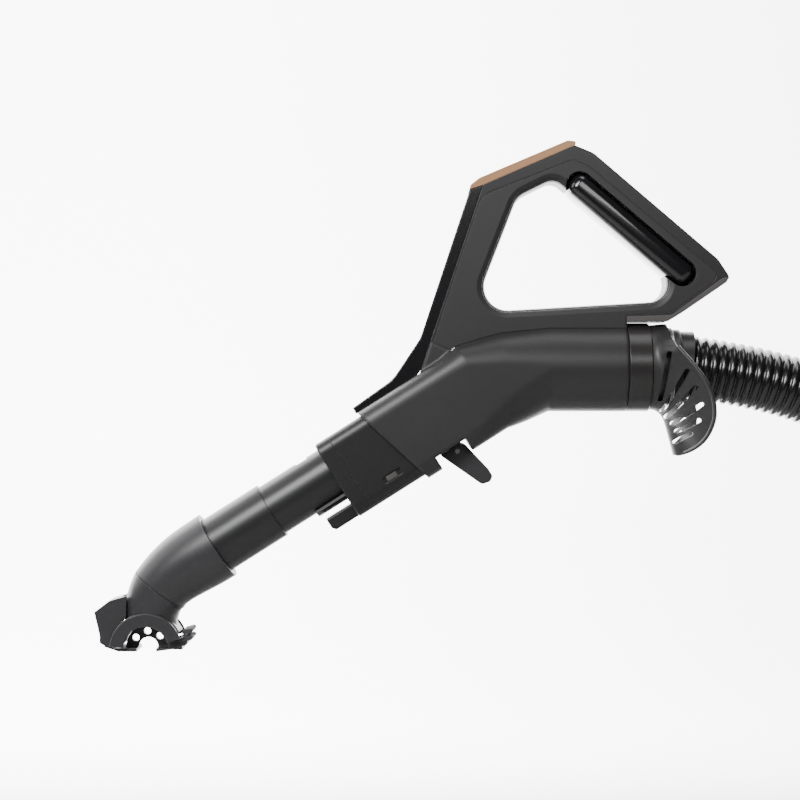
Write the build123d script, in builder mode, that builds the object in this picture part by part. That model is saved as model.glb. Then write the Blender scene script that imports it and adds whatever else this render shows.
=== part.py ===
from build123d import *
import os
from math import cos, sin, tan, radians, pi

# Suction-hose handle of a canister vacuum cleaner: a D-shaped hand grip on a bent duct, a wand
# socket with its tube, a bent end tool and the corrugated hose with its connector.
# Millimetres, +Z up, +X towards the hose, origin in the middle of the hand grip, Y = 0 is the
# plane in which the two halves of the frame meet.

# ---- driving dimensions ----
TUBE_R = 16.0            # 32 mm wand tube
TUBE_WALL = 2.0
RUN_GAP = 0.3            # clearance between faces that move on each other
HOSE_R = 19.0            # 38 mm corrugated hose
DUCT_R = 26.4            # round rear end of the duct
DUCT_Z = -85.4           # height of the duct's rear axis
WALL = 2.3               # moulded wall of the duct
FRAME_HALF = 13.5        # half the width of the D-frame
PANEL_T = 1.5            # side panel thickness
WAND_DROP = 32.3         # wand axis below horizontal, degrees
FLOOR_CENTRE_Z = -527.9  # centre line of the hose where it lies on the floor
COIL_R = 195.0           # put-away turn of the hose, to its centre line

# ---- frame of the wand: s runs out along the tube from the socket's front face, m down across it
WAND = Vector(-cos(radians(WAND_DROP)), 0, -sin(radians(WAND_DROP)))
ACROSS = Vector(sin(radians(WAND_DROP)), 0, -cos(radians(WAND_DROP)))
FACE = Vector(-183.0, 0, -148.1)
SIDE = Plane(origin=FACE, x_dir=WAND, z_dir=(0, -1, 0))     # local x = s, local y = m
DUCT_AXIS = Vector(0, 0, DUCT_Z)

os.makedirs("parts", exist_ok=True)


def wand_plane(s):
    """Plane across the wand axis at s: local x = Y, local y = m, normal outwards."""
    return Plane(origin=FACE + WAND * s, x_dir=(0, 1, 0), z_dir=WAND)


def duct_plane(x):
    """Plane across the duct's rear axis at x: local x = Y, local y = Z."""
    return Plane(origin=(x, 0, DUCT_Z), x_dir=(0, 1, 0), z_dir=(1, 0, 0))


def save(part, name):
    part.label = name
    export_step(part, f"parts/{name}.step")


def side_profile(points, radii, half_width, plane=Plane.XZ, both=True):
    """A plate cut to an outline in the side view, half_width thick each way or only towards -Y."""
    with BuildPart() as plate:
        with BuildSketch(plane):
            with BuildLine():
                FilletPolyline(*points, radius=radii, close=True)
            make_face()
        extrude(amount=half_width, both=both)
    return plate.part


def tube_between(plane, outer_r, inner_r, length):
    """A round sleeve standing on a plane."""
    with BuildPart() as sleeve:
        with BuildSketch(plane):
            Circle(outer_r)
            Circle(inner_r, mode=Mode.SUBTRACT)
        extrude(amount=length)
    return sleeve.part


# ---- duct body: one moulded casing from the oblique mouth to the round rear spigot ----
BODY_W = 52.0
BODY_TOP_M, BODY_LOW_M = -22.0, 33.2
BEND_S = -88.0           # the straight front ends here
SHOULDER_X = -8.3
SPIGOT_R = 22.6
SPIGOT_BORE_R = 19.6
SPIGOT_END_X = 24.0
WEB_TOP = [(-124.7, -70.3), (-112.4, -75.7), (-103.0, -80.5), (-125.0, -99.0), (-131.0, -89.3)]


def duct_stations():
    """Planes, widths, heights, lifts and corner radii of the casing, mouth to rear."""
    back = WAND * -1
    front = [Plane(origin=FACE + WAND * s, x_dir=(0, 1, 0), z_dir=back) for s in (BEND_S, -102.0)]
    middle = Plane(origin=(-76.0, 0, -91.1), x_dir=(0, 1, 0), z_dir=(0.961, 0, 0.277))
    height = BODY_LOW_M - BODY_TOP_M
    lift = -(BODY_LOW_M + BODY_TOP_M) / 2
    return [
        (front[0], BODY_W, height, lift, 10.0),
        (front[1], BODY_W, height + 2.2, lift + 1.0, 13.0),
        (middle, BODY_W + 0.4, 56.0, 0.0, 20.0),
        (duct_plane(-54.0), 2 * DUCT_R, 2 * DUCT_R, 0.0, DUCT_R - 0.3),
        (duct_plane(-36.0), 2 * DUCT_R, 2 * DUCT_R, 0.0, DUCT_R - 0.3),
    ]


def casing(grow, front_s=-24.0, rear_x=SHOULDER_X):
    """The casing's solid outline, grown (or shrunk) all round."""
    stations = duct_stations()
    plane, width, height, lift, corner = stations[0]
    with BuildPart() as solid:
        with BuildSketch(plane):
            with Locations((0, lift)):
                RectangleRounded(width + 2 * grow, height + 2 * grow, corner + grow)
        extrude(amount=-(front_s - BEND_S))
        for plane, width, height, lift, corner in stations:
            with BuildSketch(plane):
                with Locations((0, lift)):
                    RectangleRounded(width + 2 * grow, height + 2 * grow, corner + grow)
        loft(ruled=True)
        with BuildSketch(duct_plane(-36.0)):
            RectangleRounded(2 * (DUCT_R + grow), 2 * (DUCT_R + grow), DUCT_R - 0.3 + grow)
        extrude(amount=rear_x + 36.0)
    return solid.part


casing_outside = casing(0.0)
casing_inside = casing(-WALL, front_s=-20.0, rear_x=-12.0)
casing_keepout = casing(0.12, front_s=-18.0)
mouth_cut = side_profile([(-10, -45), (-25.3, -45), (-48.9, 40.5), (-10, 40.5)], 0, 40, SIDE)
TRIGGER_S = (-77.7, -56.7)   # slot of the release trigger
CEILING_M = 24.8
trigger_slot = side_profile(
    [(TRIGGER_S[0], CEILING_M), (TRIGGER_S[1], CEILING_M), (TRIGGER_S[1], 45), (TRIGGER_S[0], 45)],
    0, 40, SIDE)
slot_ceiling = side_profile(
    [(TRIGGER_S[0] - WALL, CEILING_M - WALL), (TRIGGER_S[1] + WALL, CEILING_M - WALL),
     (TRIGGER_S[1] + WALL, 34), (TRIGGER_S[0] - WALL, 34)], 0, 23.9, SIDE)
TRIGGER_PIVOT = (-69.5, 29.0)   # s, m
TRIGGER_PIN_R = 1.5

# outline of the glossy spine, which the casing's front edge is shaped for
SPINE = [(-101.4, 19.9), (-130.8, -68.3), (-147.1, -92.8), (-170.9, -109.7), (-168.8, -113.2),
         (-131.1, -89.4), (-124.8, -70.2), (-93.5, 22.4)]
SPINE_R = [0, 22, 25, 0, 0, 10, 6, 0]
SPINE_HALF = 12.5

with BuildPart() as duct_body:
    add(casing_outside)
    add(side_profile(WEB_TOP, 0, FRAME_HALF))
    add(casing_inside, mode=Mode.SUBTRACT)
    add(slot_ceiling & casing_outside)
    add(trigger_slot, mode=Mode.SUBTRACT)
    add(mouth_cut, mode=Mode.SUBTRACT)
    # rear wall and the spigot that carries the ring, the guard and the hose
    with BuildSketch(duct_plane(-12.4)):
        Circle(24.4)
    extrude(amount=12.4 + SHOULDER_X)
    with BuildSketch(duct_plane(-12.4)):
        Circle(SPIGOT_R)
    extrude(amount=SPIGOT_END_X + 12.4)
    with BuildSketch(duct_plane(-14.0)):
        Circle(SPIGOT_BORE_R)
    extrude(amount=SPIGOT_END_X + 20, mode=Mode.SUBTRACT)
    # lug that holds the trigger's pin
    with BuildSketch(SIDE):
        with BuildLine():
            FilletPolyline((-72.0, CEILING_M - 0.5), (-66.5, CEILING_M - 0.5), (-66.5, 31.8),
                           (-72.0, 31.8), radius=[0, 0, 2.4, 2.4], close=True)
        make_face()
        with Locations(TRIGGER_PIVOT):
            Circle(TRIGGER_PIN_R, mode=Mode.SUBTRACT)
    extrude(amount=4, both=True)
    add(side_profile(SPINE, SPINE_R, SPINE_HALF), mode=Mode.SUBTRACT)
save(duct_body.part, "duct_body")

# ---- D-frame: two hollow halves, side panels, strips and grip ----
FRAME = [(-93.4, 22.5), (-38.9, 46.0), (-28.0, 41.4), (45.7, -21.5), (52.6, -31.9), (50.6, -35.3),
         (25.2, -52.7), (15.8, -58.5), (-8.3, -58.6), (-8.3, -70.0), (-60.0, -72.0),
         (-104.0, -84.0), (-112.4, -75.7), (-124.7, -70.3)]
FRAME_R = [0, 2, 3, 3, 3, 2, 8, 4, 0, 0, 0, 0, 0, 0]
OPENING = [(-51.4, 26.2), (-73.1, 15.5), (-99.7, -52.8), (32.5, -45.2)]
OPENING_R = [8, 13, 14, 11]
PANEL = [(-40.5, 37.6), (-31.0, 33.8), (45.8, -30.2), (43.0, -35.0), (18.5, -53.0), (-9.0, -55.2),
         (-9.0, -70.0), (-60.0, -72.0), (-104.0, -84.0), (-112.4, -75.7), (-123.4, -70.9),
         (-94.5, 16.3)]
PANEL_R = [6, 6, 3, 2, 6, 0, 0, 0, 0, 0, 0, 13]
CAVITY = [(-91.0, 17.5), (-39.0, 40.0), (-31.0, 35.6), (39.0, -24.0), (43.0, -31.0), (22.0, -48.9),
          (-100.0, -56.0), (-105.0, -60.0), (-119.5, -66.5)]
LINER = [(-48.0, 29.5), (-76.0, 19.0), (-103.5, -55.3), (40.0, -48.5)]
LINER_R = [9, 15, 16, 13]
GRIP_START = (-36.2, 22.4)
GRIP_TURN = -40.46
GRIP_LEN = 80.0
GRIP_R = 8.0
GRIP_HALF = 14.6
RIM_R = 4.5              # rounding of the opening's rim

opening = side_profile(OPENING, OPENING_R, 40)
with BuildPart() as rim_rounding:
    for angle in (0, 30, 60, 90):
        drop = RIM_R * (1 - cos(radians(angle)))
        with BuildSketch(Plane.XZ.offset(FRAME_HALF - drop)):
            with BuildLine():
                FilletPolyline(*OPENING, radius=OPENING_R, close=True)
            make_face()
            if angle < 90:
                offset(amount=RIM_R * (1 - sin(radians(angle))))
    loft(ruled=True)
grip_middle = ((GRIP_START[0] * 2 + GRIP_LEN * cos(radians(GRIP_TURN))) / 2,
               (GRIP_START[1] * 2 + GRIP_LEN * sin(radians(GRIP_TURN))) / 2)


def grip_bar(radius, half_width, round_r):
    """The rounded bar that the fingers close on, lying along the rear post."""
    with BuildPart() as bar:
        with BuildSketch(Plane.XZ):
            with Locations(Location((grip_middle[0], grip_middle[1], 0), (0, 0, GRIP_TURN))):
                SlotOverall(GRIP_LEN + 2 * radius, 2 * radius)
        extrude(amount=half_width, both=True)
        if round_r:
            fillet(bar.faces().filter_by(Axis.Y).edges(), round_r)
    return bar.part


grip_pocket = grip_bar(GRIP_R + 0.1, 40, 0)
BACK_STRIP = [(-26.5, 40.1), (43.5, -19.6), (41.3, -22.2), (-28.7, 37.5)]
CORNER_TRIM = [(-8.0, -58.6), (15.8, -58.5), (25.2, -52.7), (50.6, -35.3), (52.6, -31.9),
               (48.4, -32.8), (46.0, -34.4), (18.2, -54.6), (-8.0, -55.6)]
CORNER_TRIM_R = [0, 4, 8, 2, 0, 0, 0, 6, 0]

frame_plate = side_profile(FRAME, FRAME_R, FRAME_HALF, both=False)
back_pocket = side_profile(BACK_STRIP, 0, 11.1)
trim_pocket = side_profile(CORNER_TRIM, CORNER_TRIM_R, 40)
cavity = (side_profile(CAVITY, 0, FRAME_HALF - PANEL_T - 2.4)
          - side_profile(LINER, LINER_R, 40) - grip_bar(GRIP_R + 2.4, 40, 0)
          - casing(2.4, front_s=-18.0))


def frame_half(side):
    """One moulded half of the D-frame: side -1 faces the user's left, +1 the right."""
    recess_plane = Plane.XZ.offset(FRAME_HALF - PANEL_T - 0.05)
    with BuildPart() as half:
        add(frame_plate)
        add(opening, mode=Mode.SUBTRACT)
        add(rim_rounding.part, mode=Mode.SUBTRACT)
        add(casing_keepout, mode=Mode.SUBTRACT)
        add(cavity, mode=Mode.SUBTRACT)
        add(grip_pocket, mode=Mode.SUBTRACT)
        add(back_pocket, mode=Mode.SUBTRACT)
        add(trim_pocket, mode=Mode.SUBTRACT)
        with BuildSketch(recess_plane):
            with BuildLine():
                FilletPolyline(*PANEL, radius=PANEL_R, close=True)
            make_face()
        extrude(amount=5, mode=Mode.SUBTRACT)
    if side > 0:
        return mirror(half.part, about=Plane.XZ)
    return half.part


def side_panel(side):
    """The smooth plate clipped over one half, round the finger opening."""
    with BuildPart() as panel:
        with BuildSketch(Plane.XZ.offset(FRAME_HALF - PANEL_T)):
            with BuildLine():
                FilletPolyline(*PANEL, radius=PANEL_R, close=True)
            make_face()
            offset(amount=-0.15)
        extrude(amount=PANEL_T)
        add(opening, mode=Mode.SUBTRACT)
        add(rim_rounding.part, mode=Mode.SUBTRACT)
        add(casing_keepout, mode=Mode.SUBTRACT)
        add(grip_pocket, mode=Mode.SUBTRACT)
        add(trim_pocket, mode=Mode.SUBTRACT)
    if side > 0:
        return mirror(panel.part, about=Plane.XZ)
    return panel.part


save(frame_half(-1), "frame_left")
save(frame_half(1), "frame_right")
save(side_panel(-1), "side_panel_left")
save(side_panel(1), "side_panel_right")
save(grip_bar(GRIP_R, GRIP_HALF, 5.5), "grip_pad")
save(side_profile(BACK_STRIP, 0, 11.0), "grip_back")

save(side_profile(CORNER_TRIM, CORNER_TRIM_R, FRAME_HALF + 0.2), "corner_trim")

# ---- glossy spine down the front and the metal-look strip on top ----
with BuildPart() as spine_cover:
    add(side_profile(SPINE, SPINE_R, SPINE_HALF))
    front_edges = spine_cover.edges().filter_by(
        lambda e: abs(abs(e.center().Y) - SPINE_HALF) < 0.01 and e.length > 20).sort_by(Axis.X)
    chamfer(front_edges[:1], 2.2)
save(spine_cover.part, "spine_cover")

TOP_TRIM = [(-101.6, 20.1), (-101.0, 22.6), (-95.9, 26.7), (-43.4, 49.0), (-38.4, 48.4),
            (-38.8, 46.2), (-93.4, 22.6)]
TOP_TRIM_R = [0, 0.8, 2.5, 2.5, 0.8, 0, 0]
save(side_profile(TOP_TRIM, TOP_TRIM_R, FRAME_HALF - 0.5), "top_trim")

# ---- wand socket: block, front bezel, seal, tongues and snap tabs ----
SOCKET_W, SOCKET_TOP, SOCKET_LOW = 46.4, -19.4, 30.5
SOCKET_H = SOCKET_LOW - SOCKET_TOP
SOCKET_MID = (SOCKET_LOW + SOCKET_TOP) / 2
SOCKET_END_S = -52.0
BEZEL_T = 9.2
BORE_R = TUBE_R + RUN_GAP
WINDOW_S = (-35.5, -23.5)
WINDOW_M = (18.0, 22.3)
WINDOW_Y = 21.7

with BuildPart() as socket_block:
    with BuildSketch(wand_plane(SOCKET_END_S)):
        with Locations((0, SOCKET_MID)):
            RectangleRounded(SOCKET_W, SOCKET_H, 7.2)
    extrude(amount=-SOCKET_END_S - BEZEL_T - 0.1)
    with BuildSketch(wand_plane(SOCKET_END_S)):
        with Locations((0, SOCKET_MID)):
            RectangleRounded(SOCKET_W - 4.4, SOCKET_H - 4.4, 5.0)
        Circle(BORE_R + 2.2, mode=Mode.SUBTRACT)
    extrude(amount=38, mode=Mode.SUBTRACT)
    with BuildSketch(wand_plane(SOCKET_END_S)):
        Circle(BORE_R)
    extrude(amount=60, mode=Mode.SUBTRACT)
    for side in (-1, 1):
        with BuildSketch(SIDE.offset(side * WINDOW_Y)):
            with Locations((sum(WINDOW_S) / 2, sum(WINDOW_M) / 2)):
                RectangleRounded(WINDOW_S[1] - WINDOW_S[0], WINDOW_M[1] - WINDOW_M[0], 0.6)
        extrude(amount=side * 4, mode=Mode.SUBTRACT)
save(socket_block.part, "socket_block")

TONGUE_ARC = 32.0
with BuildPart() as latch_tongue:
    with BuildSketch(wand_plane(-8.0)):
        with BuildLine():
            CenterArc((0, 0), BORE_R + 2.2, 90 - TONGUE_ARC, 2 * TONGUE_ARC)
            CenterArc((0, 0), BORE_R + 0.1, 90 - TONGUE_ARC, 2 * TONGUE_ARC)
            for turn in (90 - TONGUE_ARC, 90 + TONGUE_ARC):
                Line(((BORE_R + 0.1) * cos(radians(turn)), (BORE_R + 0.1) * sin(radians(turn))),
                     ((BORE_R + 2.2) * cos(radians(turn)), (BORE_R + 2.2) * sin(radians(turn))))
        make_face()
    extrude(amount=29.0)
save(latch_tongue.part, "latch_tongue")

PLUG_M = (21.6, 30.2)
PLUG_W = 18.0
plug_mid = (0, sum(PLUG_M) / 2)
with BuildPart() as plug_shroud:
    with BuildSketch(wand_plane(-8.0)):
        with Locations(plug_mid):
            RectangleRounded(PLUG_W, PLUG_M[1] - PLUG_M[0], 1.2)
    extrude(amount=26.0)
    with BuildSketch(wand_plane(3.0)):
        with Locations(plug_mid):
            RectangleRounded(PLUG_W - 3.2, PLUG_M[1] - PLUG_M[0] - 3.2, 0.6)
    extrude(amount=20.0, mode=Mode.SUBTRACT)
    with BuildSketch(SIDE):
        with Locations((18.5, PLUG_M[1] + 0.5)):
            Rectangle(4.4, 5.0, rotation=38)
    extrude(amount=12, both=True, mode=Mode.SUBTRACT)

with BuildPart() as contact_pins:
    with BuildSketch(wand_plane(-6.0)):
        with Locations((-4, plug_mid[1]), (4, plug_mid[1])):
            Circle(1.2)
    extrude(amount=20.0)
save(contact_pins.part, "contact_pins")
with BuildPart() as bored_shroud:
    add(plug_shroud.part)
    add(contact_pins.part, mode=Mode.SUBTRACT)
save(bored_shroud.part, "plug_shroud")

with BuildPart() as socket_bezel:
    with BuildSketch(wand_plane(-BEZEL_T)):
        with Locations((0, SOCKET_MID)):
            RectangleRounded(SOCKET_W, SOCKET_H, 7.2)
        Circle(BORE_R, mode=Mode.SUBTRACT)
    extrude(amount=BEZEL_T)
    chamfer(socket_bezel.faces().sort_by(Axis(FACE, WAND))[-1].outer_wire().edges(), 0.8)
    add(latch_tongue.part, mode=Mode.SUBTRACT)
    with BuildSketch(wand_plane(-8.0)):
        with Locations(plug_mid):
            RectangleRounded(PLUG_W, PLUG_M[1] - PLUG_M[0], 1.2)
    extrude(amount=26.0, mode=Mode.SUBTRACT)
save(socket_bezel.part, "socket_bezel")

with BuildPart() as snap_tabs:
    for side in (-1, 1):
        with BuildSketch(SIDE.offset(side * WINDOW_Y)):
            with Locations((-29.0, sum(WINDOW_M) / 2 + 0.2)):
                Rectangle(6.6, 3.0)
        extrude(amount=side * 1.2)
save(snap_tabs.part, "snap_tabs")

save(tube_between(wand_plane(SOCKET_END_S - 3.2), 18.5, TUBE_R + 0.1, 3.0), "tube_seal")

# ---- wand tube with its sleeve ----
TUBE_START_S, TUBE_END_S = -74.0, 106.0
SLEEVE_S = 43.0
SLEEVE_R = 17.5
with BuildPart() as wand_tube:
    with BuildSketch(wand_plane(TUBE_START_S)):
        Circle(TUBE_R)
        Circle(TUBE_R - TUBE_WALL, mode=Mode.SUBTRACT)
    extrude(amount=TUBE_END_S - TUBE_START_S)
    # notch that the latch drops into
    with BuildSketch(SIDE):
        with Locations((13.0, -TUBE_R - 2.0)):
            Rectangle(8.0, 10.0)
    extrude(amount=5, both=True, mode=Mode.SUBTRACT)
save(wand_tube.part, "wand_tube")
save(tube_between(wand_plane(SLEEVE_S), SLEEVE_R, TUBE_R, TUBE_END_S - SLEEVE_S), "tube_sleeve")

# ---- bent end tool: elbow sleeve, swivel neck with its saddle, tilting shoe ----
ELBOW_S = 82.0
ELBOW_R = 21.2
SEAM = Plane(origin=(-286.5, 0, -218.2), x_dir=(0, 1, 0), z_dir=(-0.604, 0, -0.797))
SEAM_R = 18.1
SEAM_BORE = 14.6
with BuildPart() as elbow_sleeve:
    for s, radius in ((ELBOW_S, ELBOW_R), (94.0, 20.9), (106.0, 20.0)):
        with BuildSketch(wand_plane(s)):
            Circle(radius)
    with BuildSketch(SEAM):
        Circle(SEAM_R)
    loft()
    with BuildSketch(wand_plane(ELBOW_S - 1)):
        Circle(SLEEVE_R + RUN_GAP)
    extrude(amount=TUBE_END_S - ELBOW_S + 1.3, mode=Mode.SUBTRACT)
    with BuildSketch(wand_plane(TUBE_END_S)):
        Circle(SEAM_BORE)
    with BuildSketch(SEAM.offset(1.0)):
        Circle(SEAM_BORE)
    loft(mode=Mode.SUBTRACT)
    # socket for the neck's collar
    with BuildSketch(SEAM.offset(1.0)):
        Circle(16.4)
    extrude(amount=-5.0, mode=Mode.SUBTRACT)
save(elbow_sleeve.part, "elbow_sleeve")

PIVOT = Vector(-293.4, 0, -252.6)
SADDLE_R, SADDLE_BORE, SADDLE_HALF = 21.3, 13.7, 16.0
SADDLE_FROM, SADDLE_TO = 26.0, 168.0
NECK_MID = Plane(origin=(-290.8, 0, -228.0), x_dir=(0, 1, 0), z_dir=(-0.26, 0, -0.966))
NECK_LOW = Plane(origin=(-291.8, 0, -240.0), x_dir=(0, 1, 0), z_dir=(0, 0, -1))
with BuildPart() as neck:
    for plane, radius in ((SEAM.offset(0.4), SEAM_R), (NECK_MID, 16.6), (NECK_LOW, 15.3)):
        with BuildSketch(plane):
            Circle(radius)
    loft()
    with BuildSketch(NECK_LOW):
        Circle(15.3)
    extrude(amount=4.0)
    # collar that turns in the elbow's socket
    with BuildSketch(SEAM.offset(0.6)):
        Circle(16.0)
    extrude(amount=-4.2)
    saddle_start = Plane(origin=PIVOT, x_dir=(0, 1, 0),
                         z_dir=(sin(radians(SADDLE_FROM)), 0, -cos(radians(SADDLE_FROM))))
    with BuildSketch(saddle_start):
        with BuildLine():
            Polyline((-SADDLE_HALF, 10.0), (-SADDLE_HALF, 15.0), (-8.5, SADDLE_R), (8.5, SADDLE_R),
                     (SADDLE_HALF, 15.0), (SADDLE_HALF, 10.0), close=True)
        make_face()
    revolve(axis=Axis(PIVOT, (0, -1, 0)), revolution_arc=SADDLE_TO - SADDLE_FROM)
    with BuildSketch(Plane(origin=PIVOT, x_dir=(1, 0, 0), z_dir=(0, -1, 0))):
        Circle(SADDLE_BORE)
    extrude(amount=30, both=True, mode=Mode.SUBTRACT)
    with BuildSketch(SEAM.offset(-4.0)):
        Circle(12.6)
    with BuildSketch(NECK_MID):
        Circle(12.6)
    with BuildSketch(NECK_LOW):
        Circle(12.4)
    loft(mode=Mode.SUBTRACT)
    with BuildSketch(NECK_LOW.offset(-0.5)):
        Circle(12.3)
    extrude(amount=9, mode=Mode.SUBTRACT)
save(neck.part, "neck_elbow")

NOTCH_R = 5.7
PLATE_LOW_Z = -254.4
SHOE_HALF = 11.0
SHOE_FRONT = [(-300.0, -219.9), (-315.7, -224.4), (-324.5, -231.1), (-321.2, -245.0),
              (-321.2, -249.4), (-317.8, -251.3), (-310.2, -253.6), (-300.0, -253.6)]
with BuildPart() as shoe:
    with BuildSketch(Plane.XZ):
        with BuildLine():
            Polyline(*SHOE_FRONT, close=True)
        make_face()
        with Locations((PIVOT.X, PIVOT.Z)):
            Circle(SADDLE_R + 0.6, mode=Mode.SUBTRACT)
    extrude(amount=SHOE_HALF, both=True)
    with BuildSketch(Plane.XY.offset(-256)):
        with Locations((-291.0, 0)):
            Circle(18.2)
    extrude(amount=42, mode=Mode.SUBTRACT)
    # sole straps that carry the index plate
    with BuildSketch(Plane.XZ):
        with BuildLine():
            Polyline((-318.5, -251.6), (-310.2, -254.4), (PIVOT.X - NOTCH_R, PLATE_LOW_Z),
                     (PIVOT.X - NOTCH_R, PIVOT.Z), (-313.0, PIVOT.Z), (-317.0, -247.5), close=True)
        make_face()
        with BuildLine():
            Polyline((PIVOT.X + NOTCH_R, PIVOT.Z), (PIVOT.X + NOTCH_R, PLATE_LOW_Z),
                     (-276.1, -252.8), (-269.4, -250.3), (-268.6, -247.4), (-271.2, -247.4),
                     (-276.1, PIVOT.Z + 1.4), (-279.0, PIVOT.Z), close=True)
        make_face()
    extrude(amount=SHOE_HALF, both=True)
    # index plate standing in the saddle's bore
    with BuildSketch(Plane(origin=PIVOT, x_dir=(1, 0, 0), z_dir=(0, -1, 0))):
        Circle(SADDLE_BORE - RUN_GAP)
        with Locations((0, -16.5)):
            Rectangle(40, 30, mode=Mode.SUBTRACT)
        Circle(NOTCH_R, mode=Mode.SUBTRACT)
        with PolarLocations(9.3, 3, start_angle=43, angular_range=102, endpoint=True):
            Circle(2.1, mode=Mode.SUBTRACT)
    extrude(amount=1.6, both=True)
save(shoe.part, "shoe")

with BuildPart() as lint_strips:
    for z in (-246.9, -242.6):
        with BuildSketch(Plane.XZ):
            with Locations(Location((-269.2, z, 0), (0, 0, 14))):
                SlotOverall(6.4, 2.6)
        extrude(amount=SHOE_HALF - 1, both=True)
    with BuildSketch(Plane.XZ):
        with Locations((-270.9, -244.6)):
            Rectangle(1.8, 5.4)
    extrude(amount=SHOE_HALF - 1, both=True)
    add(shoe.part, mode=Mode.SUBTRACT)
save(lint_strips.part, "lint_strips")

# ---- release trigger with its pin and spring ----
TRIGGER_SIDE = [(-59.6, 25.6), (-75.4, 25.6), (-76.6, 33.0), (-79.6, 47.8), (-79.4, 52.6),
                (-76.5, 54.6), (-71.3, 53.4)]
TRIGGER_HALF = 12.0
with BuildPart() as release_trigger:
    with BuildSketch(SIDE):
        with BuildLine():
            FilletPolyline(*TRIGGER_SIDE, radius=[1, 4, 0, 4, 2, 1.5, 3], close=True)
        make_face()
    extrude(amount=TRIGGER_HALF, both=True)
    # hollow behind the curved face, open towards the nozzle end
    with BuildSketch(SIDE):
        with BuildLine():
            Polyline((-50.0, 24.0), (-73.4, 24.0), (-74.6, 33.0), (-77.4, 48.2), (-74.6, 51.8),
                     (-60.0, 60.0), close=True)
        make_face()
    extrude(amount=TRIGGER_HALF - 2.0, both=True, mode=Mode.SUBTRACT)
    # stiffening ribs with the pin's hole
    for y in (-7.0, 7.0):
        with BuildSketch(SIDE.offset(y - 0.8)):
            with BuildLine():
                FilletPolyline((-61.6, 26.2), (-73.6, 26.2), (-78.2, 49.4), (-72.6, 52.4),
                               radius=[1, 1, 1, 1], close=True)
            make_face()
        extrude(amount=1.6)
    with BuildSketch(SIDE):
        with Locations(TRIGGER_PIVOT):
            Circle(TRIGGER_PIN_R + 0.05)
    extrude(amount=30, both=True, mode=Mode.SUBTRACT)
save(release_trigger.part, "release_trigger")

pivot_point = FACE + WAND * TRIGGER_PIVOT[0] + ACROSS * TRIGGER_PIVOT[1]
with BuildPart() as trigger_pin:
    with BuildSketch(Plane(origin=pivot_point, x_dir=(1, 0, 0), z_dir=(0, -1, 0))):
        Circle(TRIGGER_PIN_R)
    extrude(amount=TRIGGER_HALF - 0.6, both=True)
save(trigger_pin.part, "trigger_pin")


def coil_spring(plane, radius, wire_r, pitch, height):
    """A round-wire coil spring standing on a plane."""
    path = Helix(pitch=pitch, height=height, radius=radius)
    with BuildPart() as spring:
        with BuildSketch(Plane(origin=path @ 0, x_dir=(1, 0, 0), z_dir=path % 0)):
            Circle(wire_r)
        sweep(path=path, is_frenet=True)
    return plane.location * spring.part


save(coil_spring(Plane(origin=pivot_point + Vector(0, 4.4, 0), x_dir=(1, 0, 0), z_dir=(0, 1, 0)),
                 2.4, 0.3, 0.7, 1.1), "trigger_spring")

# ---- rear ring, hose guard and hose cuff on the spigot ----
RING_X = (-8.0, 5.6)
with BuildPart() as swivel_ring:
    with BuildSketch(duct_plane(RING_X[0])):
        Circle(DUCT_R)
        Circle(SPIGOT_R + RUN_GAP, mode=Mode.SUBTRACT)
    extrude(amount=RING_X[1] - RING_X[0])
    chamfer(swivel_ring.edges().filter_by(GeomType.CIRCLE).sort_by(SortBy.RADIUS)[-2:], 0.4)
save(swivel_ring.part, "swivel_ring")

GUARD_WALL = 2.2
GUARD_X = 5.9
GUARD_COLLAR_R = SPIGOT_R + 0.5
# angle from straight down, rim x, rim radius, belly of the profile between collar and rim
GUARD_RIM = [(0, 21.0, 52.6, 3.0), (14, 28.5, 51.5, 3.0), (28, 34.7, 50.1, 2.6),
             (40, 38.2, 47.8, 2.3), (52, 39.9, 45.0, 2.0), (70, 37.0, 42.0, 1.5),
             (88, 28.9, 39.0, 1.0), (109, 18.2, 35.0, 0.3), (128, 16.2, 28.5, 0.1),
             (140, 16.0, 26.3, 0.0), (180, 16.0, 26.1, 0.0)]
GUARD_COLLAR_LEN = 8.0


def guard_section(angle, rim_x, rim_r, belly):
    """Thin section of the guard's shell in the plane through the hose axis."""
    down = Vector(0, -sin(radians(angle)), -cos(radians(angle)))
    plane = Plane(origin=DUCT_AXIS, x_dir=(1, 0, 0), z_dir=Vector(1, 0, 0).cross(down))
    collar = (GUARD_X, GUARD_COLLAR_R + GUARD_WALL)
    inner_collar = (GUARD_X, GUARD_COLLAR_R + 0.5)
    middle = ((collar[0] + rim_x) / 2 + belly, (collar[1] + rim_r) / 2 - belly)
    along = Vector(rim_x - middle[0], rim_r - middle[1], 0).normalized()
    step = Vector(along.Y, -along.X, 0) * GUARD_WALL
    inner_mid = (middle[0] + step.X * 0.9, middle[1] + step.Y * 0.9)
    inner_rim = (rim_x + step.X, rim_r + step.Y)
    with BuildSketch(plane) as section:
        with BuildLine():
            Spline(collar, middle, (rim_x, rim_r), tangents=[(1, 0), (along.X, along.Y)])
            Line((rim_x, rim_r), inner_rim)
            Spline(inner_rim, inner_mid, inner_collar,
                   tangents=[(-along.X, -along.Y), (-1, 0)])
            Line(inner_collar, collar)
        make_face()
    return section.sketch.faces()[0]


def guard_row(angle):
    """Rim of the guard at an angle, read between the rows of the table."""
    for low, high in zip(GUARD_RIM, GUARD_RIM[1:]):
        if low[0] <= angle <= high[0]:
            share = (angle - low[0]) / (high[0] - low[0])
            return [a + (b - a) * share for a, b in zip(low, high)]


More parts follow.
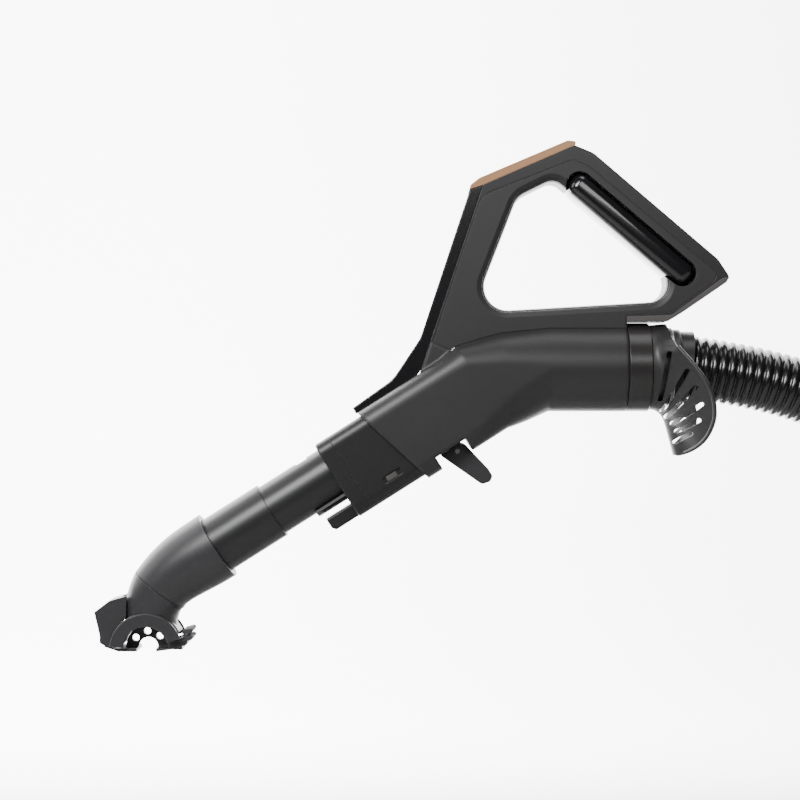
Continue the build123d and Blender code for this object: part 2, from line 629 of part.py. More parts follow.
GUARD_STEP = 12
guard_half = loft(sections=[guard_section(*guard_row(a)) for a in range(0, 181, GUARD_STEP)])
SLOTS = [((14.4, -77.9), (11.0, -104.5)), ((23.9, -88.1), (13.5, -111.0)),
         ((29.1, -97.3), (16.2, -115.0)), ((32.8, -107.7), (19.6, -119.0)),
         ((32.2, -117.0), (22.0, -123.6)), ((28.4, -125.0), (21.5, -130.0))]
SLOT_W = 2.8
with BuildPart() as hose_guard:
    add(guard_half)
    mirror(about=Plane.XZ)
    add(tube_between(duct_plane(GUARD_X), GUARD_COLLAR_R + GUARD_WALL, GUARD_COLLAR_R,
                     GUARD_COLLAR_LEN))
    with BuildSketch(duct_plane(GUARD_X - 3)):
        Circle(GUARD_COLLAR_R)
    extrude(amount=18, mode=Mode.SUBTRACT)
    with BuildSketch(Plane.XZ):
        for outer_end, inner_end in SLOTS:
            run = Vector(*outer_end, 0) - Vector(*inner_end, 0)
            turn = Vector(1, 0, 0).get_signed_angle(run, Vector(0, 0, 1))
            centre = (Vector(*outer_end, 0) + Vector(*inner_end, 0)) * 0.5
            with Locations(Location((centre.X, centre.Y, 0), (0, 0, turn))):
                SlotOverall(run.length + SLOT_W, SLOT_W)
    extrude(amount=60, both=True, mode=Mode.SUBTRACT)
save(hose_guard.part, "hose_guard")

save(tube_between(duct_plane(17.2), 23.8, SPIGOT_R, 2.0), "guard_retainer")

CUFF_X = 2.0
HOSE_START_X = 30.0
# the hose's route from its cuff down to the floor: x, z of each corner, all at Y = 0
ROUTE = [(HOSE_START_X, -85.4), (69.0, -90.2), (127.0, -109.2), (188.0, -150.4), (234.5, -217.6),
         (252.5, -300.6), (236.5, -386.1), (188.5, -458.6), (116.0, -506.6), (44.0, FLOOR_CENTRE_Z),
         (-20.0, FLOOR_CENTRE_Z)]
ROUTE_START = Vector(ROUTE[0][0], 0, ROUTE[0][1])
ROUTE_HEADING = Vector(ROUTE[1][0] - ROUTE[0][0], 0, ROUTE[1][1] - ROUTE[0][1]).normalized()
with BuildPart() as hose_cuff:
    with BuildSketch(duct_plane(CUFF_X)):
        Circle(SPIGOT_BORE_R - 0.1)
    extrude(amount=SPIGOT_END_X - CUFF_X + 1.0)
    with BuildSketch(duct_plane(SPIGOT_END_X + 0.2)):
        Circle(21.4)
    extrude(amount=HOSE_START_X - SPIGOT_END_X + 4.0)
    with BuildSketch(duct_plane(CUFF_X - 1)):
        Circle(15.8)
    extrude(amount=50, mode=Mode.SUBTRACT)
    # groove of the seal
    with BuildSketch(duct_plane(10.0)):
        Circle(SPIGOT_BORE_R)
        Circle(SPIGOT_BORE_R - 2.1, mode=Mode.SUBTRACT)
    extrude(amount=3.0, mode=Mode.SUBTRACT)
    # the rear face is square to the hose
    with BuildSketch(Plane(origin=ROUTE_START, x_dir=(0, 1, 0), z_dir=ROUTE_HEADING)):
        Circle(30)
    extrude(amount=20, mode=Mode.SUBTRACT)
save(hose_cuff.part, "hose_cuff")
save(tube_between(duct_plane(10.0), SPIGOT_BORE_R - 0.1, SPIGOT_BORE_R - 2.1, 3.0), "cuff_seal")

# ---- hose: a tube down to the floor, one put-away turn and the connector at its end ----
COIL_ARC = 270.0


def bend_radii(points):
    """Radius of each corner: 0.45 of its shorter run over the tangent of half its turn."""
    radii = []
    for before, here, after in zip(points, points[1:], points[2:]):
        run_in, run_out = here - before, after - here
        half_turn = radians(run_in.get_angle(run_out)) / 2
        radii.append(0.45 * min(run_in.length, run_out.length) / tan(half_turn))
    return radii


route = [Vector(x, 0, z) for x, z in ROUTE]
radii = bend_radii(route)
print("hose bend radii, mm:", [round(r) for r in radii])
with BuildPart() as hose:
    with BuildLine() as centre_line:
        FilletPolyline(*route, radius=radii)
    with BuildSketch(Plane(origin=centre_line.line @ 0, x_dir=(0, 1, 0),
                           z_dir=centre_line.line % 0)):
        Circle(HOSE_R)
    sweep()
hose_length = centre_line.wires()[0].length
print("hose tube, mm:", round(hose_length), "volume over section x length:",
      round(hose.part.volume / (pi * HOSE_R ** 2 * hose_length), 4))
save(hose.part, "hose")

coil_centre = Vector(ROUTE[-1][0], COIL_R, FLOOR_CENTRE_Z)
with BuildPart() as hose_coil:
    with BuildSketch(Plane(origin=(coil_centre.X, 0, FLOOR_CENTRE_Z), x_dir=(0, 1, 0),
                           z_dir=(-1, 0, 0))):
        Circle(HOSE_R)
    revolve(axis=Axis(coil_centre, (0, 0, -1)), revolution_arc=COIL_ARC)
print("coil, mm:", round(COIL_R * radians(COIL_ARC)))
save(hose_coil.part, "hose_coil")

# connector: cuff on the hose's end, swivelling spigot, latch buttons and seal
CONNECTOR_R = 20.0
CONNECTOR_X = coil_centre.X + COIL_R


def connector_plane(distance):
    """Plane across the connector, this far past the hose's end; local x = X, local y = Z."""
    return Plane(origin=(CONNECTOR_X, COIL_R - distance, FLOOR_CENTRE_Z), x_dir=(1, 0, 0),
                 z_dir=(0, -1, 0))


with BuildPart() as connector_cuff:
    with BuildSketch(connector_plane(0)):
        Circle(CONNECTOR_R)
    extrude(amount=30.0)
    chamfer(connector_cuff.faces().sort_by(Axis.Y)[0].edges(), 1.0)
    with BuildSketch(connector_plane(30.0)):
        Circle(17.0)
    extrude(amount=4.0)
    with BuildSketch(connector_plane(33.0)):
        Circle(18.2)
    extrude(amount=1.6)
    with BuildSketch(connector_plane(-1)):
        Circle(15.0)
    extrude(amount=40, mode=Mode.SUBTRACT)
save(connector_cuff.part, "connector_cuff")

BUTTON_AT = 49.5
with BuildPart() as connector_body:
    with BuildSketch(connector_plane(30.3)):
        Circle(CONNECTOR_R)
        Circle(17.3, mode=Mode.SUBTRACT)
    extrude(amount=2.4)
    with BuildSketch(connector_plane(32.7)):
        Circle(CONNECTOR_R)
        Circle(18.5, mode=Mode.SUBTRACT)
    extrude(amount=2.4)
    with BuildSketch(connector_plane(35.1)):
        Circle(CONNECTOR_R)
        Circle(14.0, mode=Mode.SUBTRACT)
    extrude(amount=24.0)
    with BuildSketch(connector_plane(59.1)):
        Circle(TUBE_R)
        Circle(14.0, mode=Mode.SUBTRACT)
    extrude(amount=31.0)
    # pockets of the latch buttons
    for side in (-1, 1):
        with BuildSketch(Plane(origin=(CONNECTOR_X + side * 15.4, COIL_R - BUTTON_AT,
                                       FLOOR_CENTRE_Z), x_dir=(0, 1, 0), z_dir=(side, 0, 0))):
            RectangleRounded(16.6, 9.6, 2.3)
        extrude(amount=8, mode=Mode.SUBTRACT)
    # groove of the sealing ring
    with BuildSketch(connector_plane(76.0)):
        Circle(TUBE_R + 1)
        Circle(TUBE_R - 1.0, mode=Mode.SUBTRACT)
    extrude(amount=2.4, mode=Mode.SUBTRACT)
save(connector_body.part, "connector_body")
save(tube_between(connector_plane(76.1), TUBE_R - 0.05, TUBE_R - 1.0, 2.2), "connector_seal")

for name, side in (("left", -1), ("right", 1)):
    with BuildPart() as button:
        with BuildSketch(Plane(origin=(CONNECTOR_X + side * 17.6, COIL_R - BUTTON_AT,
                                       FLOOR_CENTRE_Z), x_dir=(0, 1, 0), z_dir=(side, 0, 0))):
            RectangleRounded(16.0, 9.0, 2.0)
        extrude(amount=2.9)
        with BuildSketch(Plane(origin=(CONNECTOR_X + side * 17.6, COIL_R - BUTTON_AT,
                                       FLOOR_CENTRE_Z), x_dir=(0, 1, 0), z_dir=(side, 0, 0))):
            Circle(3.3)
        extrude(amount=1.95, mode=Mode.SUBTRACT)
        fillet(button.faces().sort_by(Axis.X)[0 if side < 0 else -1].edges(), 0.7)
    save(button.part, f"latch_button_{name}")
    seat = Plane(origin=(CONNECTOR_X + side * 15.4, COIL_R - BUTTON_AT, FLOOR_CENTRE_Z),
                 x_dir=(0, 1, 0), z_dir=(side, 0, 0))
    save(coil_spring(seat.offset(0.35), 2.6, 0.3, 0.75, 1.5), f"latch_spring_{name}")
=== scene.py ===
from math import cos, pi, radians, sin

import bmesh
import bpy
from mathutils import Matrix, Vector


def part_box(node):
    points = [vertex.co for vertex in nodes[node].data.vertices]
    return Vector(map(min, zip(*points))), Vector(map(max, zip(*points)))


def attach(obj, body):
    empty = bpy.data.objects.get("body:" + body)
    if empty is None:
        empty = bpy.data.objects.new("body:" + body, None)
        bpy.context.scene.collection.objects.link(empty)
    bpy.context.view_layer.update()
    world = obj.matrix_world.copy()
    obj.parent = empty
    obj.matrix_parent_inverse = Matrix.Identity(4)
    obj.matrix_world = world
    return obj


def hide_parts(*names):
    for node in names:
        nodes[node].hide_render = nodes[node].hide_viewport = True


for name in ("Cube", "Light", "Camera"):
    if name in bpy.data.objects:
        bpy.data.objects.remove(bpy.data.objects[name])
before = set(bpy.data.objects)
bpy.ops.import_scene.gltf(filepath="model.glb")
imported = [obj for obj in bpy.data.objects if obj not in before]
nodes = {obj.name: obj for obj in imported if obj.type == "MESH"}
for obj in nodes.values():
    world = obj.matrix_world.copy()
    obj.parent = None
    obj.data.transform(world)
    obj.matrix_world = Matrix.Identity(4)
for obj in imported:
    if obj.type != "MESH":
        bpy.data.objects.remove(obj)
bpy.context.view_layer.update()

# ---- Camera ----
# Level, square to the handle's side, and far enough away that the sides hardly converge.
# The width of the view at the handle's middle plane sets the focal length.
view_width, view_distance, sensor_width = 0.480, 1.078, 36.0
camera = bpy.data.objects.new("camera", bpy.data.cameras.new("camera"))
bpy.context.collection.objects.link(camera)
camera.data.sensor_width = sensor_width
camera.data.lens = sensor_width * view_distance / view_width
camera.location = (-0.1428, -view_distance, -0.105)
camera.rotation_euler = (radians(90), 0, 0)
bpy.context.scene.camera = camera


# ---- Duct and frame ----
# The bent air duct with the two hollow halves of the D-shaped frame screwed round it, all moulded
# in black plastic. Side plates, a glossy spine cover, a bronze strip on top, a grey strip round
# the corner and a rubber back to the grip are clipped over the frame.
color_a, color_b, mixed_color = 6, 7, 2     # the colour sockets of a Mix node


def moulded_skin():
    """Node group for moulded plastic: grain relief, rounded edges, an edge mask for a painted edge
    highlight and wear, and a slow tone.
    """
    grain_detail, tone_detail, edge_samples = 3.0, 4.0, 6
    flat, sharp = 0.995, 0.85               # how far the rounded normal leans where the edge gets its painted highlight and wear
    group = bpy.data.node_groups.new("moulded_skin", "ShaderNodeTree")
    side = group.interface.new_socket
    for name, value in (("Grain Scale", 1400.0), ("Relief", 0.00002), ("Edge Radius", 0.0005),
                        ("Tone Scale", 14.0)):
        side(name, in_out="INPUT", socket_type="NodeSocketFloat").default_value = value
    side("Normal", in_out="OUTPUT", socket_type="NodeSocketVector")
    for name in ("Edge", "Tone", "Grain"):
        side(name, in_out="OUTPUT", socket_type="NodeSocketFloat")
    new, link = group.nodes.new, group.links.new
    inputs, outputs = new("NodeGroupInput"), new("NodeGroupOutput")
    coords = new("ShaderNodeTexCoord")
    grain = new("ShaderNodeTexNoise")
    grain.inputs["Detail"].default_value = grain_detail
    tone = new("ShaderNodeTexNoise")
    tone.inputs["Detail"].default_value = tone_detail
    link(coords.outputs["Object"], grain.inputs["Vector"])
    link(coords.outputs["Object"], tone.inputs["Vector"])
    link(inputs.outputs["Grain Scale"], grain.inputs["Scale"])
    link(inputs.outputs["Tone Scale"], tone.inputs["Scale"])
    rounded = new("ShaderNodeBevel")
    rounded.samples = edge_samples
    link(inputs.outputs["Edge Radius"], rounded.inputs["Radius"])
    relief = new("ShaderNodeBump")
    link(inputs.outputs["Relief"], relief.inputs["Distance"])
    link(grain.outputs["Fac"], relief.inputs["Height"])
    link(rounded.outputs["Normal"], relief.inputs["Normal"])
    geometry = new("ShaderNodeNewGeometry")
    alike = new("ShaderNodeVectorMath")
    alike.operation = "DOT_PRODUCT"
    link(rounded.outputs["Normal"], alike.inputs[0])
    link(geometry.outputs["Normal"], alike.inputs[1])
    # Edge mask: where the colour is lightened on edges, as a painted edge highlight and as wear
    edge = new("ShaderNodeMapRange")
    edge.inputs["From Min"].default_value = flat
    edge.inputs["From Max"].default_value = sharp
    link(alike.outputs["Value"], edge.inputs["Value"])
    link(relief.outputs["Normal"], outputs.inputs["Normal"])
    link(edge.outputs["Result"], outputs.inputs["Edge"])
    link(tone.outputs["Fac"], outputs.inputs["Tone"])
    link(grain.outputs["Fac"], outputs.inputs["Grain"])
    return group


skin = moulded_skin()


def plastic(name, dark, light, edge_highlight_and_wear, roughness, grain=1400.0, relief=0.00002, edge=0.0005,
            coat=0.0, metallic=0.0):
    """Moulded plastic or metal: a tone between dark and light, and on its edges a lighter colour
    that paints a highlight and wear.
    """
    smoother, rougher, coat_roughness = 0.05, 0.07, 0.08
    material = bpy.data.materials.new(name)
    material.use_nodes = True
    new, link = material.node_tree.nodes.new, material.node_tree.links.new
    shader = material.node_tree.nodes["Principled BSDF"]
    surface = new("ShaderNodeGroup")
    surface.node_tree = skin
    surface.inputs["Grain Scale"].default_value = grain
    surface.inputs["Relief"].default_value = relief
    surface.inputs["Edge Radius"].default_value = edge
    tone = new("ShaderNodeMix")
    tone.data_type = "RGBA"
    tone.inputs[color_a].default_value = (*dark, 1)
    tone.inputs[color_b].default_value = (*light, 1)
    link(surface.outputs["Tone"], tone.inputs["Factor"])
    # Painted edge highlight and wear: the edge mask mixes the lighter edge colour in on edges
    edge_highlight_and_wear_mix = new("ShaderNodeMix")
    edge_highlight_and_wear_mix.data_type = "RGBA"
    edge_highlight_and_wear_mix.inputs[color_b].default_value = (*edge_highlight_and_wear, 1)
    link(surface.outputs["Edge"], edge_highlight_and_wear_mix.inputs["Factor"])
    link(tone.outputs[mixed_color], edge_highlight_and_wear_mix.inputs[color_a])
    link(edge_highlight_and_wear_mix.outputs[mixed_color], shader.inputs["Base Color"])
    rough = new("ShaderNodeMapRange")
    rough.inputs["To Min"].default_value = roughness - smoother
    rough.inputs["To Max"].default_value = roughness + rougher
    link(surface.outputs["Grain"], rough.inputs["Value"])
    link(rough.outputs["Result"], shader.inputs["Roughness"])
    link(surface.outputs["Normal"], shader.inputs["Normal"])
    shader.inputs["Metallic"].default_value = metallic
    shader.inputs["Coat Weight"].default_value = coat
    shader.inputs["Coat Roughness"].default_value = coat_roughness
    return material


def finish(material, *names):
    """Give the named solids a material."""
    for name in names:
        for place in nodes[name].material_slots:
            place.material = material


casing = plastic("casing", (0.017, 0.0165, 0.017), (0.027, 0.026, 0.027), (0.027, 0.026, 0.027),
                 0.40, edge=0.003)
satin_black = plastic("satin_black", (0.012, 0.012, 0.013), (0.018, 0.018, 0.019),
                      (0.055, 0.055, 0.057), 0.36)
charcoal = plastic("charcoal", (0.016, 0.0155, 0.016), (0.025, 0.024, 0.025),
                   (0.050, 0.049, 0.050), 0.42)
gloss_black = plastic("gloss_black", (0.005, 0.005, 0.006), (0.008, 0.008, 0.009),
                      (0.050, 0.050, 0.052), 0.20, relief=0.000002, edge=0.0015, coat=0.6)
bronze = plastic("bronze", (0.38, 0.19, 0.085), (0.48, 0.25, 0.12), (0.66, 0.42, 0.24), 0.32)
grey_trim = plastic("grey_trim", (0.065, 0.060, 0.058), (0.085, 0.080, 0.078),
                    (0.15, 0.14, 0.14), 0.42)
rubber = plastic("rubber", (0.012, 0.012, 0.012), (0.018, 0.018, 0.018),
                 (0.030, 0.030, 0.030), 0.75)
finish(casing, "duct_body")
finish(satin_black, "frame_left", "frame_right")
finish(charcoal, "side_panel_left", "side_panel_right")
finish(gloss_black, "spine_cover", "grip_pad")
finish(bronze, "top_trim")
finish(grey_trim, "corner_trim")
finish(rubber, "grip_back")


# ---- Grip ----
# The bar that the fingers close on: polished plastic, rounded all over and let into the rear post
# of the frame, from which it stands out on both sides.
grip_start, grip_end = Vector((-0.0362, 0, 0.0224)), Vector((0.0247, 0, -0.0295))
grip_radius, grip_half = 0.0080, 0.0163
grip_squareness = 3                         # 2 is an ellipse in section, more is squarer
grip_mesh = bpy.data.meshes.new("grip_bar")
cells = bmesh.new()
bmesh.ops.create_uvsphere(cells, u_segments=72, v_segments=41, radius=1.0)
along = (grip_end - grip_start).normalized()
across = along.cross(Vector((0, 1, 0)))
for vert in cells.verts:
    x, y, z = vert.co
    ring = (x * x + y * y) ** 0.5
    if ring > 1e-6:
        ring /= (abs(x) ** grip_squareness + abs(y) ** grip_squareness) ** (1 / grip_squareness)
    middle = grip_end if z > 0 else grip_start
    vert.co = (middle + (along * z + across * x * ring) * grip_radius
               + Vector((0, y * ring * grip_half, 0)))
for face in cells.faces:
    face.smooth = True
cells.to_mesh(grip_mesh)
cells.free()
grip_mesh.materials.append(gloss_black)
grip = bpy.data.objects.new("grip_bar", grip_mesh)
bpy.context.collection.objects.link(grip)
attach(grip, "handle")
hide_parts("grip_pad")


# ---- Wand socket and tube ----
# The black block at the front, with its bezel, latch tongue, snap tabs and the plug for the wand's
# wires. The short tube slides in it against a rubber lip, with a sleeve pressed on its outer end.
socket_black = plastic("socket_black", (0.006, 0.006, 0.0065), (0.010, 0.010, 0.011),
                       (0.040, 0.040, 0.042), 0.40)
tube_plastic = plastic("tube_plastic", (0.011, 0.011, 0.0115), (0.018, 0.018, 0.019),
                       (0.040, 0.040, 0.042), 0.34)
contact_metal = plastic("contact_metal", (0.62, 0.45, 0.20), (0.75, 0.56, 0.28),
                        (0.8, 0.65, 0.4), 0.25, metallic=1.0)
finish(socket_black, "socket_block", "socket_bezel", "latch_tongue", "plug_shroud")
finish(contact_metal, "contact_pins")
finish(grey_trim, "snap_tabs")
finish(rubber, "tube_seal")
finish(tube_plastic, "wand_tube", "tube_sleeve")


# ---- Bent tool ----
# The sleeve that turns on the tube, the neck on its oblique seam and the shoe that tilts in the
# neck's saddle, in a browner plastic, with lint strips of woven fabric glued under the shoe.
# The flat half ring on each side of the saddle and the web of the sole are moulded on.
tool_plastic = plastic("tool_plastic", (0.026, 0.025, 0.027), (0.036, 0.035, 0.038),
                       (0.090, 0.089, 0.093), 0.38)
lint_fabric = plastic("lint_fabric", (0.03, 0.03, 0.032), (0.07, 0.07, 0.075),
                      (0.08, 0.08, 0.085), 0.9, grain=4000.0, relief=0.0003)
finish(tool_plastic, "elbow_sleeve", "neck_elbow", "shoe")
finish(lint_fabric, "lint_strips")
pivot = Vector((-0.2934, 0, -0.2526))


def ring_plate(name, start, end, inner, outer, near, far, bevel):
    """Part of a flat ring about the pivot from one angle to another, on both sides of Y = 0."""
    steps = 40
    section = [(inner, near), (outer, near), (outer, far - bevel), (outer - bevel, far),
               (inner + bevel, far), (inner, far - bevel)]
    mesh = bpy.data.meshes.new(name)
    cells = bmesh.new()
    for side in (-1, 1):
        rows = []
        for i in range(steps + 1):
            angle = radians(start + (end - start) * i / steps)
            out = Vector((cos(angle), 0, sin(angle)))
            rows.append([cells.verts.new(pivot + out * r + Vector((0, side * y, 0)))
                         for r, y in section])
        for a, b in zip(rows, rows[1:]):
            for k in range(len(section)):
                cells.faces.new((a[k], a[k - 1], b[k - 1], b[k]))
        cells.faces.new(rows[0])
        cells.faces.new(rows[-1])
    bmesh.ops.recalc_face_normals(cells, faces=cells.faces)
    cells.to_mesh(mesh)
    cells.free()
    mesh.materials.append(tool_plastic)
    piece = bpy.data.objects.new(name, mesh)
    bpy.context.collection.objects.link(piece)
    return piece


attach(ring_plate("saddle_rim", 18, 175, 0.0134, 0.0214, 0.0150, 0.0168, 0.0006), "neck")
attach(ring_plate("sole_web", -2, 16, 0.0130, 0.0212, 0.0004, 0.0108, 0.0004), "shoe")


# ---- Release trigger ----
# The moulded trigger that the forefinger pulls to let the wand go. It turns on a steel pin across
# the duct and is pushed back by a coil spring.
steel = plastic("steel", (0.50, 0.50, 0.51), (0.60, 0.60, 0.61), (0.7, 0.7, 0.7), 0.28,
                metallic=1.0)
finish(tool_plastic, "release_trigger")
finish(steel, "trigger_pin", "trigger_spring")


# ---- Rear ring and hose guard ----
# The glossy ring that turns on the duct's rear end, the hose's cuff with its seal, and the slotted
# guard held by a steel retainer. A thickened bead moulded round the guard's rim keeps the thin
# shell from splitting.
ring_black = plastic("ring_black", (0.016, 0.015, 0.015), (0.024, 0.022, 0.021),
                     (0.060, 0.058, 0.056), 0.30, relief=0.000006)
finish(ring_black, "swivel_ring")
finish(charcoal, "hose_guard")
finish(steel, "guard_retainer")
finish(satin_black, "hose_cuff")
finish(rubber, "cuff_seal")
guard_rim = [(0, 21.0, 52.6), (14, 28.5, 51.5), (28, 34.7, 50.1), (40, 38.2, 47.8),
             (52, 39.9, 45.0), (70, 37.0, 42.0), (88, 28.9, 39.0), (109, 18.2, 35.0)]
guard_axis_z, bead_radius, bead_proud = -0.0854, 0.0013, 0.0006
bead_curve = bpy.data.curves.new("guard_bead", "CURVE")
bead_curve.dimensions = "3D"
bead_curve.bevel_depth = bead_radius
bead_curve.bevel_resolution = 3
bead_curve.use_fill_caps = True
# each row is an angle from straight down, a place along the axis and a radius, in millimetres
rim_round = [(angle * turn, x, r) for turn in (-1, 1) for angle, x, r in guard_rim[::turn]
             if angle or turn > 0]
spline = bead_curve.splines.new("NURBS")
spline.points.add(len(rim_round) - 1)
for point, (angle, x, r) in zip(spline.points, rim_round):
    point.co = (x / 1000 + bead_proud, r / 1000 * sin(radians(angle)),
                guard_axis_z - r / 1000 * cos(radians(angle)), 1.0)
spline.order_u = 3
spline.use_endpoint_u = True
bead_object = bpy.data.objects.new("bead_curve", bead_curve)
bpy.context.collection.objects.link(bead_object)
bead_mesh = bpy.data.meshes.new_from_object(bead_object)
bpy.data.objects.remove(bead_object)
bead_mesh.materials.append(tool_plastic)
for face in bead_mesh.polygons:
    face.use_smooth = True
bead = bpy.data.objects.new("guard_rim_bead", bead_mesh)
bpy.context.collection.objects.link(bead)
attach(bead, "guard")


# ---- Hose ----
# A corrugated polyethylene hose of 38 mm over 32 mm. It leaves the handle's rear cuff, hangs in a
# bend to the floor and lies there in one put-away turn, up to the connector at its far end.
hose_plastic = plastic("hose_plastic", (0.006, 0.006, 0.007), (0.010, 0.010, 0.011),
                       (0.010, 0.010, 0.011), 0.22, relief=0.000004, edge=0.0001, coat=0.4)
finish(hose_plastic, "hose", "hose_coil")
route = [(0.030, -0.0854), (0.069, -0.0902), (0.127, -0.1092), (0.188, -0.1504),
         (0.2345, -0.2176), (0.2525, -0.3006), (0.2365, -0.3861), (0.1885, -0.4586),
         (0.116, -0.5066), (0.044, -0.5279), (-0.020, -0.5279)]
route_points = [Vector((x, 0, z)) for x, z in route]
coil_radius, coil_turn, coil_points = 0.195, radians(270), 18
coil_centre = route_points[-1] + Vector((0, coil_radius, 0))
for i in range(1, coil_points + 1):
    angle = coil_turn * i / coil_points
    route_points.append(coil_centre + coil_radius * Vector((-sin(angle), -cos(angle), 0)))
route_curve = bpy.data.curves.new("hose_route", "CURVE")
route_curve.dimensions = "3D"
route_curve.resolution_u = 24
spline = route_curve.splines.new("NURBS")
spline.points.add(len(route_points) - 1)
for point, place in zip(spline.points, route_points):
    point.co = (*place, 1.0)
spline.order_u = 3
spline.use_endpoint_u = True
route_object = bpy.data.objects.new("hose_route", route_curve)
bpy.context.collection.objects.link(route_object)
route_mesh = bpy.data.meshes.new_from_object(route_object)


def corrugated_tube():
    """Geometry nodes: a tube along a curve, its radius rising and falling once for each rib."""
    rings_per_rib, sides, rib_fullness = 8.0, 36, 0.7
    tree = bpy.data.node_groups.new("corrugated_tube", "GeometryNodeTree")
    side = tree.interface.new_socket
    side("Geometry", in_out="INPUT", socket_type="NodeSocketGeometry")
    numbers = {}
    for name in ("Pitch", "Crest", "Depth"):
        numbers[name] = side(name, in_out="INPUT", socket_type="NodeSocketFloat").identifier
    side("Geometry", in_out="OUTPUT", socket_type="NodeSocketGeometry")
    new, link = tree.nodes.new, tree.links.new
    inputs, outputs = new("NodeGroupInput"), new("NodeGroupOutput")

    def reckon(operation, *values):
        step = new("ShaderNodeMath")
        step.operation = operation
        for socket, value in zip(step.inputs, values):
            if isinstance(value, float):
                socket.default_value = value
            else:
                link(value, socket)
        return step.outputs[0]

    resample = new("GeometryNodeResampleCurve")
    resample.mode = "LENGTH"
    link(inputs.outputs["Geometry"], resample.inputs["Curve"])
    link(reckon("DIVIDE", inputs.outputs["Pitch"], rings_per_rib), resample.inputs["Length"])
    along = new("GeometryNodeSplineParameter")
    phase = reckon("MULTIPLY", reckon("DIVIDE", along.outputs["Length"],
                                      inputs.outputs["Pitch"]), pi)
    swell = reckon("POWER", reckon("ABSOLUTE", reckon("SINE", phase)), rib_fullness)
    sink = reckon("MULTIPLY", reckon("SUBTRACT", 1.0, swell), inputs.outputs["Depth"])
    radius = reckon("SUBTRACT", inputs.outputs["Crest"], sink)
    circle = new("GeometryNodeCurvePrimitiveCircle")
    circle.inputs["Resolution"].default_value = sides
    circle.inputs["Radius"].default_value = 1.0
    sweep = new("GeometryNodeCurveToMesh")
    link(resample.outputs["Curve"], sweep.inputs["Curve"])
    link(circle.outputs["Curve"], sweep.inputs["Profile Curve"])
    link(radius, sweep.inputs["Scale"])
    smooth = new("GeometryNodeSetShadeSmooth")
    realize = new("GeometryNodeRealizeInstances")
    paint = new("GeometryNodeSetMaterial")
    paint.inputs["Material"].default_value = hose_plastic
    link(sweep.outputs["Mesh"], smooth.inputs["Geometry"])
    link(smooth.outputs["Geometry"], realize.inputs["Geometry"])
    link(realize.outputs["Geometry"], paint.inputs["Geometry"])
    link(paint.outputs["Geometry"], outputs.inputs["Geometry"])
    return tree, numbers


rib_tree, rib_sockets = corrugated_tube()
ribs = route_object.modifiers.new("ribs", "NODES")
ribs.node_group = rib_tree
for name, size in (("Pitch", 0.0053), ("Crest", 0.019), ("Depth", 0.0022)):
    ribs[rib_sockets[name]] = size
hose_mesh = bpy.data.meshes.new_from_object(
    route_object.evaluated_get(bpy.context.evaluated_depsgraph_get()))
bpy.data.objects.remove(route_object)
hose = bpy.data.objects.new("suction_hose", hose_mesh)
bpy.context.collection.objects.link(hose)
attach(hose, "handle")
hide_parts("hose", "hose_coil")


# ---- Connector at the hose's far end ----
# The plastic body that plugs into the machine with a rubber seal. It turns on the cuff glued to
# the hose and is held by two sprung grey buttons.
finish(satin_black, "connector_cuff")
finish(charcoal, "connector_body")
finish(rubber, "connector_seal")
finish(grey_trim, "latch_button_left", "latch_button_right")
finish(steel, "latch_spring_left", "latch_spring_right")


# ---- Studio ----
# A white sweep of paper behind the handle, with soft lights from above, from the left and from
# the front. The wall is lit from within, more to the left, and the floor in front is darker.
def softbox(name, place, target, size, watts):
    light = bpy.data.objects.new(name, bpy.data.lights.new(name, "AREA"))
    bpy.context.collection.objects.link(light)
    light.data.shape = "RECTANGLE"
    light.data.size, light.data.size_y = size
    light.data.energy = watts
    light.location = place
    light.rotation_euler = (Vector(target) - Vector(place)).to_track_quat("-Z", "Y").to_euler()


softbox("key", (-0.70, -1.00, 0.55), (-0.22, 0, -0.15), (0.5, 0.5), 20)
softbox("front", (0.10, -1.35, 0.42), (-0.08, 0, -0.08), (0.5, 0.3), 3.0)
softbox("left", (-1.35, 0.05, 0.55), (-0.15, 0, -0.02), (1.0, 1.1), 10)
softbox("top", (-0.05, 0.05, 0.95), (-0.12, 0, -0.1), (1.2, 0.5), 6)
world = bpy.data.worlds.new("studio")
world.use_nodes = True
world.node_tree.nodes["Background"].inputs["Color"].default_value = (1, 1, 1, 1)
world.node_tree.nodes["Background"].inputs["Strength"].default_value = 0.05
bpy.context.scene.world = world

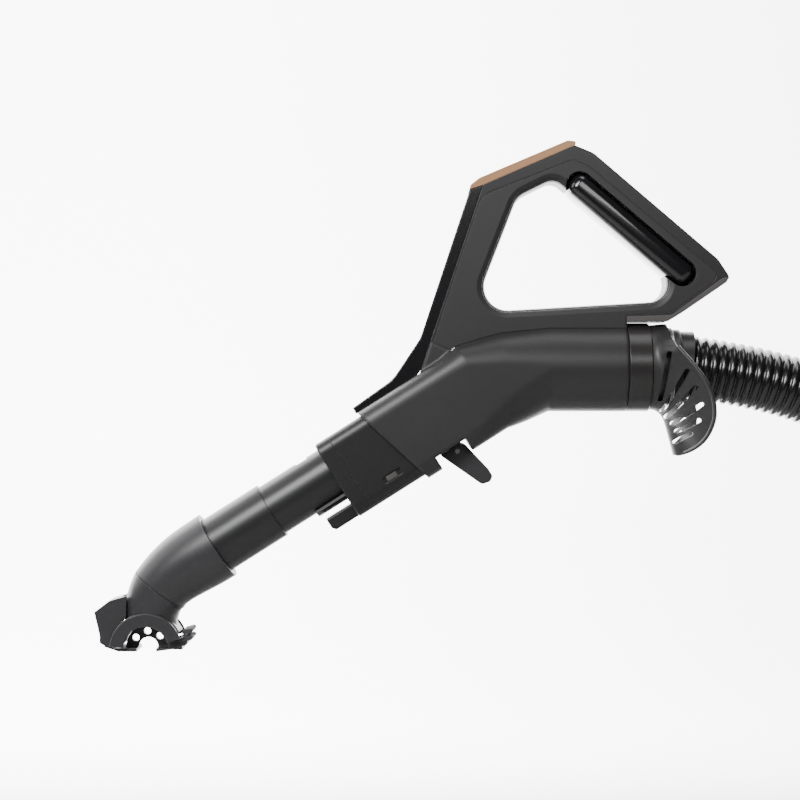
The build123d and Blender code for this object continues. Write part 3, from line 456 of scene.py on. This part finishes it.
floor_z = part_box("hose_coil")[0].z - 0.001
floor_front, wall_y, wall_top, bend, bend_steps = -1.6, 1.1, 2.2, 0.4, 16
profile = [(floor_front, floor_z)]
profile += [(wall_y - bend + bend * sin(a), floor_z + bend - bend * cos(a))
            for a in [radians(90) * i / bend_steps for i in range(bend_steps + 1)]]
profile.append((wall_y, wall_top))
sweep_mesh = bpy.data.meshes.new("paper_sweep")
cells = bmesh.new()
rows = [[cells.verts.new((x, y, z)) for y, z in profile] for x in (-2.2, 2.0)]
for i in range(len(profile) - 1):
    cells.faces.new((rows[0][i], rows[1][i], rows[1][i + 1], rows[0][i + 1])).smooth = True
cells.to_mesh(sweep_mesh)
cells.free()
paper = bpy.data.objects.new("paper_sweep", sweep_mesh)
bpy.context.collection.objects.link(paper)
paper_white = bpy.data.materials.new("paper_white")
paper_white.use_nodes = True
new, link = paper_white.node_tree.nodes.new, paper_white.node_tree.links.new
paper_shader = paper_white.node_tree.nodes["Principled BSDF"]
paper_shader.inputs["Roughness"].default_value = 0.9
paper_shader.inputs["Emission Color"].default_value = (1, 1, 1, 1)
coords = new("ShaderNodeTexCoord")
split = new("ShaderNodeSeparateXYZ")
link(coords.outputs["Object"], split.inputs["Vector"])


def fade(axis, start, end, before, after):
    """A value that goes smoothly from one to another between two places along an axis."""
    step = new("ShaderNodeMapRange")
    step.interpolation_type = "SMOOTHSTEP"
    for name, value in (("From Min", start), ("From Max", end), ("To Min", before),
                        ("To Max", after)):
        step.inputs[name].default_value = value
    link(split.outputs[axis], step.inputs["Value"])
    return step.outputs["Result"]


glow = new("ShaderNodeMath")
glow.operation = "MULTIPLY"
link(fade("Y", 0.70, 0.95, 0.02, 8.5), glow.inputs[0])
link(fade("X", -0.5, 0.6, 1.0, 0.66), glow.inputs[1])
link(glow.outputs["Value"], paper_shader.inputs["Emission Strength"])
link(fade("Y", 0.6, 0.9, 0.25, 0.9), paper_shader.inputs["Base Color"])
sweep_mesh.materials.append(paper_white)
